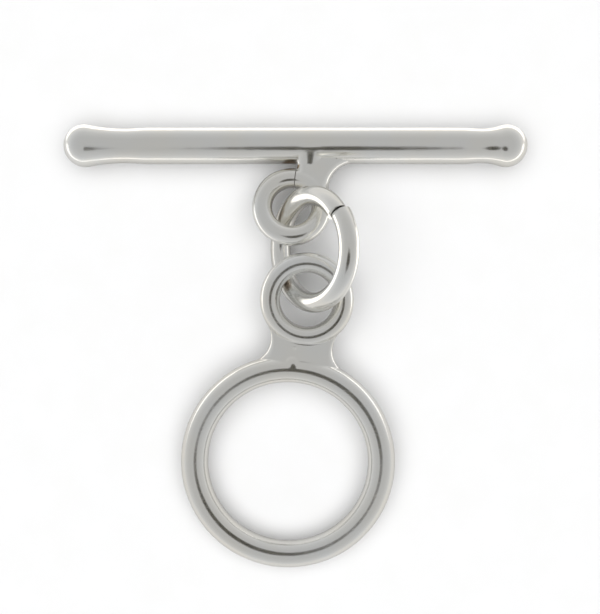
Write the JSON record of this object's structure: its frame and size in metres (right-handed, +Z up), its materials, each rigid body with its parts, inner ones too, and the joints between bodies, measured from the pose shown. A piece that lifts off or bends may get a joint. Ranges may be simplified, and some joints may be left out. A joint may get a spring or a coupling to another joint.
{
  "type": "toggle clasp",
  "caption": "Silver toggle clasp lying flat: a round bar with beaded ends and a soldered eye, a plain round ring with its own eye, and the jump ring that links the eyes.",
  "frame": {"origin": "on the surface that the clasp lies on, under the middle of its bounding box", "axes": "+X along the bar, +Y from the ring to the bar, +Z up from the surface"},
  "size_m": [0.0262, 0.025, 0.0056],
  "materials": {
    "polished_silver": "polished silver, barely tarnished at the solder"
  },
  "bodies": {
    "root": {"toggle_bar": "polished_silver", "toggle_ring": "polished_silver", "jump_ring": "polished_silver"}
  },
  "joints": []
}
